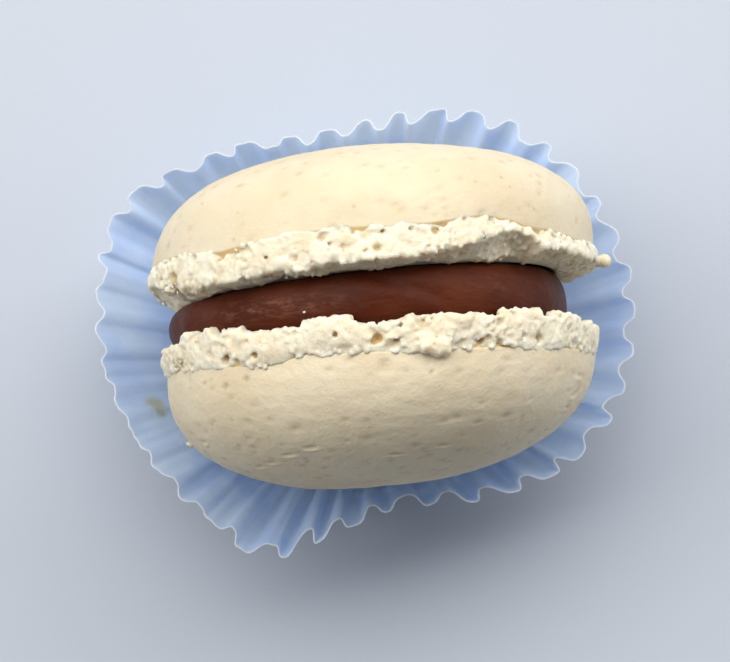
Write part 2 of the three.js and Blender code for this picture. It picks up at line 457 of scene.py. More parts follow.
def foot_low(shell, sizes, radius, angle):
    """How high above the flat face the foot's underside is."""
    out = np.clip((radius - SLOPE_START) / (sizes.foot_radius / MM - SLOPE_START), 0, 1)
    plate = sum(by * between(angle, a, b, 1.0) for a, b, by in shell["plates"]) + shell["grip"]
    ragged = 0.3 * foot_wobble(shell, sizes, angle, 2.6, 0)
    ragged = ragged + 0.16 * foot_wobble(shell, sizes, angle, 0.9, 1)
    low = round_table(shell["ridge"], angle) * (1 - (1 - out) ** 1.6)
    return low + (ragged - plate) * smoothstep((radius - RAGGED_START) / 0.5)


def foot_reach(shell, sizes, angle, up):
    """How far out a foot's outer face is, where up is the share of its height."""
    widest = sizes.foot_radius / MM - 0.15
    flush = sizes.crown_radius / MM + 0.12 + 0.15 * foot_wobble(shell, sizes, angle, 3.5, 2)
    side = widest - (widest - flush) * up**2
    return side + 0.16 * foot_wobble(shell, sizes, angle, 6, 3)


def foot_field(shell, sizes, points):
    """How far a point lies outside the foot before its lumps and hollows are made."""
    height = points[:, 2]
    radius, angle = polar(points)
    top = crease_height(shell, sizes, points[:, 0], angle)
    low = foot_low(shell, sizes, radius, angle)
    up = np.clip((height - low) / np.maximum(top - low, 0.4), 0, 1.3)
    field = blended_max(radius - foot_reach(shell, sizes, angle, up), low - height, 0.6)
    edge = top + 0.3 + 0.25 * foot_wobble(shell, sizes, angle, 1.8, 8)
    field = blended_max(field, height - edge, 0.3)
    return blended_max(field, FOOT_HOLE - radius, 0.3)


def foot_side(shell, sizes, angle, up):
    """A point just inside a foot's outer face: degrees round it and the share of its height."""
    out = foot_reach(shell, sizes, np.array([angle]), up)[0] - 0.08
    point = turned_point(out, angle, 0.0)
    low = foot_low(shell, sizes, np.array([out]), np.array([angle]))[0]
    point[2] = low + (crease_height(shell, sizes, point[0], angle) - low) * up
    return point


def foot_underside(shell, sizes, angle, out):
    """A point just inside a foot's underside: degrees round it and millimetres from its axis."""
    low = foot_low(shell, sizes, np.array([out]), np.array([angle]))[0]
    return turned_point(out, angle, low + 0.03)


def feature_place(shell, sizes, angle, share, inwards):
    """Where a cavity, knob or drop is: degrees, share of the foot's height, millimetres inwards."""
    point = turned_point(sizes.foot_radius / MM - 0.35 - inwards, angle, 0.0)
    point[2] = share * crease_height(shell, sizes, point[0], angle)
    return point


def crease_groove(shell, sizes, points):
    """How far a point lies inside the groove that runs along the crease."""
    radius, angle = polar(points)
    out = radius - sizes.foot_radius / MM - 0.1
    up = (points[:, 2] - crease_height(shell, sizes, points[:, 0], angle) - 0.12) / 0.8
    size = 0.3 + sum(by * between(angle, a, b, 3) for a, b, by in shell["recesses"])
    size = size + 0.2 * foot_wobble(shell, sizes, angle, 2.0, 9)
    return size - np.hypot(out, up)


def foot_relief(points, seed):
    """How far a foot's skin stands out: flakes, lumps on them that come and go, and grain."""
    flake, next_flake, level = cells(points, FLAKE_SIZE, seed + 4)
    relief = 0.22 * level * smoothstep((next_flake - flake) / 0.6)
    lump, next_lump, level = cells(points + 0.3 * relief[:, None], LUMP_SIZE, seed + 5)
    rough = 0.35 + 0.65 * smoothstep(noise(points, 4.5, seed + 12) + 0.5)
    relief += (0.1 * level + 0.08) * rough * smoothstep((next_lump - lump) / 0.25)
    relief += 0.26 * noise(points, 3.4, seed + 6) + 0.12 * rough * noise(points, 1.3, seed + 7)
    return relief + 0.1 * rough * noise(points, 0.46, seed + 10)


def roughen_foot(block, base, shell, sizes):
    """Adds the relief to the foot on the block, and cuts the groove along its crease."""
    whole = block.field.reshape(-1)
    near = (np.abs(whole) < RELIEF_DEPTH) & (polar(block.points)[0] > RELIEF_START)
    skin_points = block.points[near]
    groove = crease_groove(shell, sizes, skin_points)
    # What stands out past the plain foot, such as a knob, isn't cut.
    groove[base.reshape(-1)[near] > 0.35] = -1
    relief = foot_relief(skin_points, shell["seed"])
    whole[near] = blended_max(whole[near] - relief, groove, 0.2)


def add_foot_crumbs(block, shell, sizes, rng):
    """Crumbs on the foot's outer face, and along its edge that faces the filling."""
    for _ in range(SIDE_CRUMBS):
        angle, up, size = rng.uniform(-180, 180), rng.uniform(0, 1.1), rng.uniform(0.16, 0.36)
        block.ball(foot_side(shell, sizes, angle, up), size, 0.07)
    fringe_end = sizes.foot_radius / MM - 0.3
    for _ in range(FRINGE_CRUMBS):
        angle, out = rng.uniform(-180, 180), rng.uniform(FRINGE_START, fringe_end)
        size = rng.uniform(0.13, 0.27)
        block.ball(foot_underside(shell, sizes, angle, out), size, 0.05)


def chance_holes(rng):
    """Holes at random places, given like a shell's pockets."""
    holes = []
    for count, radii, shares, inwards, further in CHANCE_HOLES:
        for _ in range(count):
            size = rng.uniform(*radii)
            angle, share = rng.uniform(-180, 180), rng.uniform(*shares)
            holes.append((angle, share, size, size * inwards + further))
    return holes


def cut_foot_holes(block, shell, sizes, rng):
    for angle, share, size, inwards in shell["pockets"] + chance_holes(rng):
        middle = feature_place(shell, sizes, angle, share, inwards)
        for _ in range(HOLE_BALLS if size > LARGE_HOLE else 1):
            part = size * rng.uniform(0.5, 0.75)
            away = rng.normal(size=3) * size * 0.38
            block.ball(middle + away, part, 0.1, cut=True)


def foot_recess_shade(block, base, shell, sizes, points):
    """How much shade is painted on each point, from 0 to 1: deep in the plain foot, or under its
    raised edge.
    """
    depth = -block.sample(base, points)
    recess_shade = np.clip((depth - 0.1) / 0.8, 0, 1)
    radius, angle = polar(points)
    below = smoothstep((round_table(shell["ridge"], angle) - points[:, 2]) / 0.5)
    under = below * smoothstep((sizes.foot_radius / MM - radius) / 0.8)
    return np.maximum(recess_shade, shell["underside_shade"] * under)


def make_foot(shell, sizes, name):
    """The crumbly ring round the shell's flat face."""
    rng = np.random.default_rng(shell["seed"])
    reach = sizes.foot_radius / MM + GRID_OUT
    top = sizes.foot_height / MM + GRID_OVER
    block = Block((-reach, -reach, -GRID_UNDER), (reach, reach, top), FOOT_STEP)
    base = foot_field(shell, sizes, block.points).reshape(block.shape)
    block.field = base.copy()
    for angle, share, size, inwards in shell["knobs"]:
        block.ball(feature_place(shell, sizes, angle, share, inwards), size, 0.35)
    roughen_foot(block, base, shell, sizes)
    add_foot_crumbs(block, shell, sizes, rng)
    for angle, share, size, inwards in shell["drops"]:
        block.ball(feature_place(shell, sizes, angle, share, inwards), size, 0.3)
    cut_foot_holes(block, shell, sizes, rng)
    points, faces = skin(block.field, block.low, FOOT_STEP)
    # The layer marks where the material paints shade.
    layers = {"recess_shade": foot_recess_shade(block, base, shell, sizes, points)}
    return solid(name, points, faces, shell_place(shell["side"]), layers)


CROWN_COLUMNS = 420
CROWN_ROWS = 150
CROWN_START = 0.25  # how high over the crease the dome starts
CROWN_PITS = 420
CROWN_FLATNESS = 2.2  # weight of a point's height in the direction that its skin faces

# A crown's underside: shares of its radius, and millimetres over the crease. Its last stretch is a
# skirt inside the foot, so that no gap shows at the crease.
CROWN_UNDERSIDE = [
    (0.001, 1.0), (0.7, 0.9), (0.9, 0.0), (0.95, -0.7), (0.965, -0.8), (0.978, -0.6),
    (0.984, -0.25), (0.99, 0.1),
]


def crown_curve(sizes, share):
    """The dome's share of its height at a share of its radius, and the other way round."""
    return (1 - share**sizes.crown_power) ** (1 / sizes.crown_power)


def crown_profile(sizes):
    """The crown's outline from the middle of its underside to its top: radius and height."""
    radius, height = sizes.crown_radius / MM, sizes.crown_height / MM
    under = [(share * radius, rise) for share, rise in CROWN_UNDERSIDE]
    fine = np.linspace(0, math.pi / 2, 2000)
    out = radius * np.cos(fine) ** (2 / sizes.crown_power)
    up = CROWN_START + height * np.sin(fine) ** (2 / sizes.crown_power)
    length = np.concatenate([[0], np.cumsum(np.hypot(np.diff(out), np.diff(up)))])
    wanted = np.linspace(0, length[-1], CROWN_ROWS)
    dome = np.stack([np.interp(wanted, length, out), np.interp(wanted, length, up)], -1)
    return np.concatenate([np.array(under), dome[:-1]]), CROWN_START + height


def crown_place(sizes, angle, share):
    """A point of the dome: degrees round it and the share of its radius."""
    level = CROWN_START + sizes.crown_height / MM * crown_curve(sizes, share)
    return turned_point(share * sizes.crown_radius / MM, angle, level)


def scatter_on_crown(rng, sizes, count):
    """Random points on the crown, evenly spread over its skin."""
    radius, height = sizes.crown_radius / MM, sizes.crown_height / MM
    angle = rng.uniform(0, 2 * math.pi, count)
    out = np.sqrt(rng.uniform(0, 1.25, count)).clip(0, 0.995)
    up = crown_curve(sizes, out)
    # Those past the rim go on the steep side.
    up = np.where(out > 0.99, rng.uniform(0, 0.35, count), up)
    level = CROWN_START + up * height
    return np.stack([out * radius * np.cos(angle), out * radius * np.sin(angle), level], -1)


def small_pits(points, sizes, rng):
    """For each pit in a crown: how much each point is in it, and how far it sinks there."""
    for mark in scatter_on_crown(rng, sizes, CROWN_PITS):
        size = rng.uniform(0.16, 0.42) * (1.3 if rng.random() < 0.1 else 1)
        away = np.linalg.norm((points - mark) * (1, 1, 1.3), axis=1) / size
        dent = np.exp(-(away**2))
        yield dent * rng.uniform(0.5, 1.0), dent * size * 0.28


def baked_bubbles(points, sizes, shell):
    """The same for each flat, darker bubble on a crown's side."""
    for angle, height, size in shell["spots"]:
        mark = crown_place(sizes, angle, crown_curve(sizes, height * MM / sizes.crown_height))
        dent = np.exp(-((np.linalg.norm(points - mark, axis=1) / size) ** 4))
        yield 1.6 * dent, 0.12 * dent


def flaked_scuffs(points, sizes, shell):
    """The same for each scuff, where a flake of the skin is lifted over a short slit."""
    for angle, share in shell["scuffs"]:
        turn = math.radians(angle)
        away = points - crown_place(sizes, angle, share)
        along = away[:, 1] * math.cos(turn) - away[:, 0] * math.sin(turn)
        across = np.sqrt(np.maximum((away**2).sum(axis=1) - along**2, 0)) * np.sign(away[:, 2])
        flake = np.exp(-((along / 0.75) ** 2) - ((across - 0.16) / 0.22) ** 2)
        slit = np.exp(-((along / 0.6) ** 2) - ((across + 0.22) / 0.2) ** 2)
        yield slit, 0.16 * slit - 0.13 * flake


def crown_swell(points, seed):
    """How far a crown's skin stands out: broad swells, fine lumps and faint streaks round it."""
    swell = 0.16 * noise(points, 13, seed + 20) + 0.07 * noise(points, 5, seed + 21)
    swell += 0.03 * noise(points, 1.7, seed + 22) + 0.015 * noise(points, 0.8, seed + 23)
    turn = np.arctan2(points[:, 1], points[:, 0])
    streak = np.stack([turn * 3.2, points[:, 2] * 1.1, 0 * turn], -1)
    return swell + 0.018 * noise(streak, 1.0, seed + 24)


def make_crown(shell, sizes, name):
    """The smooth dome of a shell, with the marks of its baking."""
    rng = np.random.default_rng(shell["seed"] + 100)
    profile, top = crown_profile(sizes)
    points = turned_points(profile[:, :1], profile[:, 1:], CROWN_COLUMNS, 1.0, top)
    outwards = points * (1, 1, CROWN_FLATNESS)
    outwards /= np.linalg.norm(outwards, axis=1)[:, None]

    pit, wave = np.zeros(len(points)), crown_swell(points, shell["seed"])
    marks = itertools.chain(
        small_pits(points, sizes, rng),
        baked_bubbles(points, sizes, shell),
        flaked_scuffs(points, sizes, shell),
    )
    for shown, sink in marks:
        pit = np.maximum(pit, shown)
        wave -= sink
    angle = polar(points)[1]
    points = points + outwards * wave[:, None]

    # The dome leans by its drift, and its rim follows the crease's strays, which fade towards its top.
    rise = np.clip((points[:, 2] - CROWN_START) / (sizes.crown_height / MM), 0, 1)
    points[:, :2] += rise[:, None] * shell["drift"]
    points[:, 2] += crease_height(shell, sizes, points[:, 0], angle, (1 - rise) ** 2)
    faces = turned_faces(len(profile), CROWN_COLUMNS)
    layers = {"pit": pit, "rise": rise}
    return solid(name, points, faces, shell_place(shell["side"]), layers)


# ---- the filling ----

FILLING_COLUMNS = 420
FILLING_ROWS = 44
FILLING_ROUNDING = 1.9  # how far in from its edge the filling is rounded
FILLING_RINGS = (0.35, 0.7)  # shares of its radius, on each flat side

# Bloom on the filling's edge: degrees, spread, share of the way up from the middle, spread, strength.
BLOOMS = [(-117, 17, 0.02, 0.42, 1.0), (-55, 14, 0.25, 0.3, 0.35)]


def filling_fold(angle, level):
    """A fold that runs down from the filling's top edge, and what is below it laps over."""
    along = (angle + 90) / 18
    line = 0.75 - 0.85 * along
    run = smoothstep((along + 0.45) / 0.3) * smoothstep((1.3 - along) / 0.4)
    away = (level - line) / 0.28
    return run * (0.07 * np.exp(-((away + 1.3) ** 2)) - 0.2 * np.exp(-((away / 0.8) ** 2)))


def make_filling(sizes):
    """A round slab between the shells, whose rounded edge shows."""
    radius, half = sizes.radius / MM, sizes.thickness / MM / 2
    row = np.linspace(-0.5, 0.5, FILLING_ROWS) * math.pi
    flat = radius * np.array(FILLING_RINGS)
    out = radius - FILLING_ROUNDING + FILLING_ROUNDING * np.cos(row) ** 0.7
    out = np.concatenate([flat, out, flat[::-1]])[:, None]
    up = np.concatenate([[-half] * len(flat), half * np.sin(row), [half] * len(flat)])[:, None]
    turn = np.arange(FILLING_COLUMNS) / FILLING_COLUMNS * 2 * math.pi
    out = out * (1 + 0.012 * np.sin(3 * turn + 0.6) * np.sin(turn))
    points = turned_points(out, up, FILLING_COLUMNS, -half, half)

    flat_radius, angle = polar(points)
    level = points[:, 2] / half
    shown = smoothstep((flat_radius - radius + 3) / 2)
    swell = 0.22 * noise(points, 7, 61) + 0.09 * noise(points, 3, 62) + 0.02 * noise(points, 1, 63)
    swell += filling_fold(angle, level)
    points[:, :2] *= (1 + shown * swell / np.maximum(flat_radius, 1))[:, None]
    points[:, 0] += sizes.drift / MM
    # It is a wedge, because the shells part towards +X and upwards.
    grow = np.tan(OPEN_ACROSS / 2) * points[:, 0] - np.tan(OPEN_UP / 2) * points[:, 1]
    points[:, 2] *= 1 + grow / half

    bloom = np.zeros(len(points))
    for at, spread, middle, rise, strength in BLOOMS:
        bloom += strength * bump(angle, at, spread) * np.exp(-(((level - middle) / rise) ** 2))
    place = biscuit_place() @ Matrix.Rotation(-math.pi / 2, 4, "X")
    faces = turned_faces(len(out), FILLING_COLUMNS)
    return solid("ganache_slab", points, faces, place, {"bloom": np.clip(bloom, 0, 1)})


# ---- the paper case ----

COLUMNS_PER_FLUTE = 18
WALL_ROWS = 40
OUTLINE_STEPS = 1440
FLUTE_START = 4.0  # degrees from +X
BASE_LEVEL = 0.1  # of the middle of the base's paper
BASE_RINGS = (0.25, 0.5, 0.75, 0.9, 0.97)  # shares of the base's radius
CASE_SEED = 5

# Where the mouth is pushed in or pulled out of its circle: degrees, millimetres and the spread.
MOUTH_PULLS = [
    (101, -7.2, 36), (282, -10.9, 48), (212, -1.7, 28), (245, 2.5, 11), (154, 1.9, 13),
]
# Where the flutes are pulled flat or squeezed deep: degrees, share of the depth and the spread.
DEPTH_PULLS = [(203, -0.7, 26), (251, 0.8, 13), (68, 0.3, 18), (316, 0.25, 24)]


def pulled(angle, pulls):
    return sum(by * bump(angle, at, spread) for at, by, spread in pulls)


def mouth_points(sizes, angle):
    radius = sizes.mouth_radius / MM + pulled(angle, MOUTH_PULLS)
    turn = np.radians(angle)
    return np.stack([radius * np.cos(turn), radius * np.sin(turn)], -1)


def mouth_angles(sizes, share):
    """The mouth's angle at each share of its length, so that the flutes are evenly spaced."""
    angle = np.linspace(0, 360, OUTLINE_STEPS + 1)
    steps = np.linalg.norm(np.diff(mouth_points(sizes, angle), axis=0), axis=1)
    length = np.concatenate([[0], np.cumsum(steps)])
    return np.interp(share * length[-1], length, angle)


def flute_wave(sizes, share, around):
    """How far out the flutes take the paper: uneven in width, with flattened crests."""
    flute = share * sizes.flutes + 0.18 * noise(around * 8, 1.0, 71)
    turn = 2 * math.pi * flute
    turn = turn + 0.75 * noise(around * 7, 1.0, 78) * np.cos(turn)
    return 0.53 * np.tanh(1.5 * (np.sin(turn) + 0.22))


def paper_crumple(sheet, mouth, angle):
    """How far the paper strays: soft dents, and creases that run up the wall."""
    points = sheet.reshape(-1, 3)
    crumple = 0.2 * noise(points * (1, 1, 0.6), 4.5, 74) + 0.05 * noise(points, 1.6, 75)
    lines = np.concatenate([np.tile(mouth, (WALL_ROWS, 1)), points[:, 2:] * 0.12], axis=1)
    crumple += 0.2 * noise(lines, 2.1, 76) + 0.13 * noise(lines, 0.9, 77)
    height = np.linspace(0, 1, WALL_ROWS)[:, None]
    # The base stays flat, and the paper is most crumpled where its flutes are pulled flat.
    crumple = crumple.reshape(WALL_ROWS, -1) * smoothstep(height * 6)
    return crumple * (0.7 + 0.9 * bump(angle, 205, 35))


def case_sheet(sizes):
    """The middle of the paper, as rows from the base's edge up to the mouth."""
    rng = np.random.default_rng(CASE_SEED)
    columns = sizes.flutes * COLUMNS_PER_FLUTE
    share = np.arange(columns) / columns
    around = np.stack([np.cos(share * 2 * math.pi), np.sin(share * 2 * math.pi), 0 * share], -1)
    wave = flute_wave(sizes, share, around)
    angle = mouth_angles(sizes, share) + FLUTE_START
    depth = sizes.flute_depth / MM * (1 + pulled(angle, DEPTH_PULLS))
    depth = depth * (1 + 0.35 * noise(around * 9, 1.0, 72))
    mouth = mouth_points(sizes, angle)
    outwards = mouth / np.linalg.norm(mouth, axis=1)[:, None]
    base = outwards * sizes.base_radius / MM
    # The cut edge wanders, and one draw makes the whole wall a little longer or shorter.
    reach = sizes.wall_length / MM + 0.3 * noise(around * 7, 1.0, 73) + 0.2 * rng.normal()
    rise = np.sqrt(reach**2 - ((mouth - base) ** 2).sum(axis=1))
    rows = []
    # The last row is close to the one before it, so that only the very edge gets the painted highlight
    # of the cut edge.
    for up in [*np.linspace(0, 0.99, WALL_ROWS - 1) ** 0.9, 1]:
        flat = base + (mouth - base) * up**1.2
        flat = flat + outwards * (depth * up**0.62 * wave)[:, None]
        rows.append(np.concatenate([flat, (BASE_LEVEL + rise * up)[:, None]], axis=1))
    sheet = np.array(rows)
    sheet[..., :2] += outwards * paper_crumple(sheet, mouth, angle)[..., None]
    return sheet


def make_case(sizes):
    """The fluted case: a closed body of thin paper, from the sheet and a copy inside it."""
    sheet = case_sheet(sizes)
    centre = np.array([0, 0, BASE_LEVEL])
    floor = [centre + (sheet[0] - centre) * share for share in BASE_RINGS]
    wall = np.concatenate([np.array(floor), sheet])
    across = np.roll(wall, -1, axis=1) - np.roll(wall, 1, axis=1)
    along = np.gradient(wall, axis=0)
    normal = np.cross(across, along)
    normal[: len(floor)] = (0, 0, -1)
    normal /= np.linalg.norm(normal, axis=-1)[..., None]
    half = sizes.paper / MM / 2
    outer, inner = wall + normal * half, wall - normal * half
    outer[..., 2] = np.maximum(outer[..., 2], 0)
    rings = np.concatenate([outer, inner[::-1]])
    points = np.concatenate([[centre - (0, 0, half)], rings.reshape(-1, 3), [centre + (0, 0, half)]])
    points[0, 2] = 0
    row = np.concatenate([np.arange(len(wall)), np.arange(len(wall))[::-1]])
    # The cut edge, the wall's last row, is marked for a painted highlight.
    edge = np.repeat(np.where(row == len(wall) - 1, 1.0, 0.0), sheet.shape[1])
    layers = {"edge": np.concatenate([[0], edge, [0]])}
    place = Matrix.Translation((*CASE_CENTRE, 0))
    faces = turned_faces(len(rings), sheet.shape[1])
    return solid("fluted_case", points, faces, place, layers)


# ---- crumbs ----

# Places in millimetres in the row frame, and radii.
CRUMBS = [((-17.7, -12.3, 24.5), 0.4), ((-5.6, -0.9, 42.95), 0.13)]
STEPS_PER_CRUMB = 7  # of the grid that a crumb is made on, in its radius


def make_crumbs():
    """Loose crumbs of meringue on the lower shell and on the filling."""
    points, faces = [], []
    total = 0
    for number, (place, size) in enumerate(CRUMBS):
        reach = size * 1.6
        block = Block((-reach,) * 3, (reach,) * 3, size / STEPS_PER_CRUMB)
        away = np.linalg.norm(block.points * (1, 1.2, 1.5), axis=1) - size
        away += 0.35 * size * noise(block.points, size * 0.9, 90 + number)
        own, quads = skin(away.reshape(block.shape), block.low, block.step)
        points.append(own + place)
        faces.append(quads + total)
        total += len(own)
    every = np.concatenate(points)
    layers = {"recess_shade": np.zeros(total)}
    return solid("crumbs", every, np.concatenate(faces), Matrix.Identity(4), layers)


# ---- materials ----


def shade(tree, kind, sockets=None, **settings):
    """A shader node with its settings, and a value or a link for each socket named."""
    node = tree.nodes.new("ShaderNode" + kind)
    for name, value in settings.items():
        setattr(node, name, value)
    for name, value in (sockets or {}).items():
        socket = node.inputs[name]
        if isinstance(value, bpy.types.NodeSocket):
            tree.links.new(value, socket)
        else:
            socket.default_value = value
    return node


def blank(name):
    """A new material with only its output, its tree and the object's coordinates in metres."""
    material = bpy.data.materials.new(name)
    material.use_nodes = True
    tree = material.node_tree
    tree.nodes.clear()
    output = shade(tree, "OutputMaterial")
    where = shade(tree, "TexCoord").outputs["Object"]
    return material, tree, output, where


def grain(tree, where, size, detail=3.0, roughness=0.6):
    """Noise whose lumps are about size metres across."""
    sockets = {"Vector": where, "Scale": 0.5 / size, "Detail": detail, "Roughness": roughness}
    return shade(tree, "TexNoise", sockets).outputs["Fac"]


def ramp(tree, factor, low, high, start=0.0, end=1.0):
    """A smooth change of a value from start to end as the factor goes from low to high."""
    sockets = {"Value": factor, "From Min": low, "From Max": high, "To Min": start, "To Max": end}
    made = shade(tree, "MapRange", sockets, interpolation_type="SMOOTHSTEP")
    return made.outputs["Result"]


def mixed(tree, factor, first, second):
    """A mix of two colours."""
    node = shade(tree, "Mix", data_type="RGBA")
    for index, value in ((0, factor), (6, first), (7, second)):
        socket = node.inputs[index]
        if isinstance(value, bpy.types.NodeSocket):
            tree.links.new(value, socket)
        elif index:
            socket.default_value = (*value[:3], 1)
        else:
            socket.default_value = value
    return node.outputs[2]


def math_node(tree, operation, first, second):
    node = shade(tree, "Math", operation=operation)
    for index, value in enumerate((first, second)):
        if isinstance(value, bpy.types.NodeSocket):
            tree.links.new(value, node.inputs[index])
        else:
            node.inputs[index].default_value = value
    return node.outputs[0]


def layer(tree, name):
    return shade(tree, "Attribute", attribute_name=name).outputs["Fac"]


def raised(tree, height, distance, normal=None):
    sockets = {"Height": height, "Distance": distance, "Strength": 1.0}
    if normal is not None:
        sockets["Normal"] = normal
    return shade(tree, "Bump", sockets).outputs["Normal"]


def crown_material(colours):
    material, tree, output, where = blank("baked_meringue_crown")
    cloud = ramp(tree, grain(tree, where, 0.007), 0.35, 0.7)
    colour = mixed(tree, cloud, colours.crown, colours.crown_warm)
    mottle = ramp(tree, grain(tree, where, 0.0016, 4.0, 0.65), 0.52, 0.78, 0, 0.45)
    colour = mixed(tree, mottle, colour, colours.crown_warm)
    speck_cells = {"Vector": where, "Scale": 520.0, "Randomness": 1.0}
    speck = shade(tree, "TexVoronoi", speck_cells).outputs["Distance"]
    few = ramp(tree, grain(tree, where, 0.0035), 0.5, 0.62)
    speck = math_node(tree, "MULTIPLY", ramp(tree, speck, 0.16, 0.05), few)
    colour = mixed(tree, math_node(tree, "MULTIPLY", speck, 0.5), colour, colours.speck)
    colour = mixed(tree, math_node(tree, "MULTIPLY", layer(tree, "pit"), 0.45), colour, colours.speck)
    # Painted shade along the crease, on the crown's skirt under its lip.
    crease_shade = ramp(tree, layer(tree, "rise"), 0.004, 0.0, 0, 0.85)
    colour = mixed(tree, crease_shade, colour, colours.recess_shade)
    fine = grain(tree, where, 0.00022, 3.0, 0.7)
    normal = raised(tree, fine, 0.00005)
    skin_lumps = grain(tree, where, 0.0009, 4.0, 0.6)
    normal = raised(tree, skin_lumps, 0.00016, normal)
    surface = shade(tree, "BsdfPrincipled", {
        "Base Color": colour,
        "Roughness": ramp(tree, skin_lumps, 0.3, 0.7, 0.56, 0.7),
        "Specular IOR Level": 0.35,
        "Subsurface Weight": 0.3,
        "Subsurface Radius": (1.0, 0.6, 0.35),
        "Subsurface Scale": 0.0012,
        "Normal": normal,
    })
    tree.links.new(surface.outputs[0], output.inputs["Surface"])
    return material


def foot_material(colours):
    material, tree, output, where = blank("crumbly_meringue_foot")
    cloud = ramp(tree, grain(tree, where, 0.0012, 4.0), 0.35, 0.7)
    colour = mixed(tree, cloud, colours.foot, colours.crown)
    # Painted shade: where the layer says, the cavities and the underside turn tan, and the deepest
    # cavities brown.
    recess_shade = layer(tree, "recess_shade")
    recess_shade = math_node(tree, "MULTIPLY", recess_shade, ramp(tree, grain(tree, where, 0.0022), 0.25, 0.5))
    colour = mixed(tree, ramp(tree, recess_shade, 0.0, 0.7), colour, colours.recess_shade)
    colour = mixed(tree, ramp(tree, recess_shade, 0.7, 1.0, 0, 0.6), colour, colours.deep_recess_shade)
    crumb = grain(tree, where, 0.0002, 3.0, 0.7)
    normal = raised(tree, crumb, 0.00012)
    surface = shade(tree, "BsdfPrincipled", {
        "Base Color": colour,
        "Roughness": 0.82,
        "Specular IOR Level": 0.25,
        "Subsurface Weight": 0.6,
        "Subsurface Radius": (1.0, 0.75, 0.5),
        "Subsurface Scale": 0.0014,
        "Normal": normal,
    })
    tree.links.new(surface.outputs[0], output.inputs["Surface"])
    return material


def filling_material(colours):
    material, tree, output, where = blank("satin_chocolate_ganache")
    cloud = ramp(tree, grain(tree, where, 0.006), 0.35, 0.68)
    colour = mixed(tree, cloud, colours.ganache, colours.ganache_dark)
    streaks = shade(tree, "Mapping", {"Vector": where, "Scale": (1.0, 2.6, 1.0)}).outputs[0]
    patchy = ramp(tree, grain(tree, streaks, 0.0009, 5.0, 0.7), 0.42, 0.68)
    bloom = math_node(tree, "MULTIPLY", layer(tree, "bloom"), patchy)
    colour = mixed(tree, math_node(tree, "MULTIPLY", bloom, 0.9), colour, colours.bloom)
    lumps = grain(tree, where, 0.0016, 3.0, 0.55)
    normal = raised(tree, lumps, 0.00012)
    normal = raised(tree, patchy, 0.00003, normal)
    surface = shade(tree, "BsdfPrincipled", {
        "Base Color": colour,
        "Roughness": ramp(tree, bloom, 0.0, 0.8, 0.45, 0.62),
        "Specular IOR Level": 0.1,
        "Normal": normal,
    })
    tree.links.new(surface.outputs[0], output.inputs["Surface"])
    return material


SMEAR_PLACE = (-0.0227, -0.0082, 0.0127)  # of a greasy spot on the paper, in metres


def paper_material(colours):
    material, tree, output, where = blank("greaseproof_case_paper")
    # The paper is white; the blue in both its colours is painted blue light, as if from around the
    # case, and the cloud makes some patches bluer.
    cloud = ramp(tree, grain(tree, where, 0.004, 3.0), 0.35, 0.7)
    colour = mixed(tree, cloud, colours.paper, colours.paper_bluer_cast)
    fibre = ramp(tree, grain(tree, where, 0.0005, 5.0, 0.75), 0.5, 0.8, 0, 0.35)
    colour = mixed(tree, fibre, colour, colours.paper_fibre_and_edge_highlight)
    # A painted highlight along the cut edge.
    colour = mixed(tree, layer(tree, "edge"), colour, colours.paper_fibre_and_edge_highlight)
    smear = shade(tree, "VectorMath", operation="DISTANCE")
    tree.links.new(where, smear.inputs[0])
    smear.inputs[1].default_value = SMEAR_PLACE
    smear = ramp(tree, smear.outputs["Value"], 0.0021, 0.0006)
    patchy = ramp(tree, grain(tree, where, 0.0011, 2.0), 0.4, 0.62, 0, 0.8)
    colour = mixed(tree, math_node(tree, "MULTIPLY", smear, patchy), colour, colours.smear)
    normal = raised(tree, grain(tree, where, 0.0004, 4.0, 0.7), 0.00004)
    normal = raised(tree, grain(tree, where, 0.0026, 3.0, 0.6), 0.00016, normal)
    front = shade(tree, "BsdfPrincipled", {
        "Base Color": colour,
        "Roughness": 0.5,
        "Specular IOR Level": 0.4,
        "Normal": normal,
    })
    through = shade(tree, "BsdfTranslucent", {"Color": colour, "Normal": normal})
    both = shade(tree, "MixShader", {"Fac": 0.58})
    tree.links.new(front.outputs[0], both.inputs[1])
    tree.links.new(through.outputs[0], both.inputs[2])
    tree.links.new(both.outputs[0], output.inputs["Surface"])
    return material


def floor_material(colours):
    material, tree, output, where = blank("pale_floor")
    cloud = ramp(tree, grain(tree, where, 0.2), 0.3, 0.7)
    shaded = tuple(0.97 * part for part in colours.floor)
    surface = shade(tree, "BsdfPrincipled", {
        "Base Color": mixed(tree, cloud, colours.floor, shaded),
        "Roughness": 0.7,
        "Specular IOR Level": 0.2,
    })
    tree.links.new(surface.outputs[0], output.inputs["Surface"])
    return material


# ---- the stage ----

VIEW_TILT = math.radians(5.7)  # from straight down, towards -Y
VIEW_TARGET = Vector((0.0, -0.1, 17.5))
VIEW_DISTANCE = 196.5
VIEW_LENS = 91.8

# Lights in metres and watts: name, place, width and height, power and colour.
LIGHTS = [
    ("key_light", (-0.1, 0.28, 0.52), (1.8, 0.4), 9.9, (1.0, 0.98, 0.95)),
    ("fill_light", (0.5, 0.15, 0.22), (0.3, 0.3), 0.85, (0.98, 0.98, 1.0)),
]
LIGHT_AIM = Vector((0, 0, 0.02))
WORLD_TINT = (0.95, 0.97, 1.0, 1)
WORLD_STRENGTH = 0.15
FLOOR_REACH = 2  # metres from the middle to each side


def make_light(name, place, size, power, tint):
    """A rectangular area light that faces the biscuit."""
    light = bpy.data.lights.new(name, "AREA")
    light.shape = "RECTANGLE"
    light.size, light.size_y = size
    light.energy = power
    light.color = tint
    made = bpy.data.objects.new(name, light)
    made.location = place
    made.rotation_euler = (LIGHT_AIM - made.location).to_track_quat("-Z", "Y").to_euler()
    bpy.context.scene.collection.objects.link(made)


